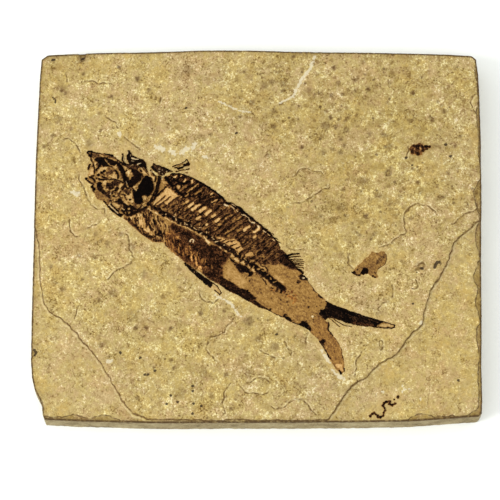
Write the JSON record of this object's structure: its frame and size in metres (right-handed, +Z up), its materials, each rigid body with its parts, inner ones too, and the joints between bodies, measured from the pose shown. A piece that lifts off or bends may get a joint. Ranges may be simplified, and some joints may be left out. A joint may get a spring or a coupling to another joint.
{
  "type": "fossil fish slab",
  "caption": "Flat slab of fine limestone with the pressed black and brown skeleton of a small herring on its bed, both front corners split off to a lower bed; lies on its flat underside.",
  "frame": {"origin": "middle of the slab's outline, on the surface that it lies on", "axes": "+X along the slab's long side from the fish's head end to its tail end, +Y from the front edge to the back edge, +Z up out of the bed"},
  "size_m": [0.1171, 0.1003, 0.0098],
  "materials": {
    "limestone": "matte, finely mottled buff",
    "bone_black": "satin black mineralised bone",
    "bone_brown": "satin dark brown mineralised bone",
    "skin_film": "matte light brown mineralised skin",
    "coprolite": "satin dark brown"
  },
  "bodies": {
    "root": {"limestone_slab": "limestone", "skull": "bone_black", "gill_cover": "bone_black", "trunk": "bone_brown", "dorsal_fin": "bone_black", "pelvic_fin": "bone_black", "upper_tail_lobe": "bone_black", "lower_tail_lobe": "skin_film", "nape_plate": "bone_black", "loose_bone": "bone_black", "brown_fragment": "skin_film", "coprolite_lump": "coprolite", "coprolite_string": "coprolite"}
  },
  "joints": []
}
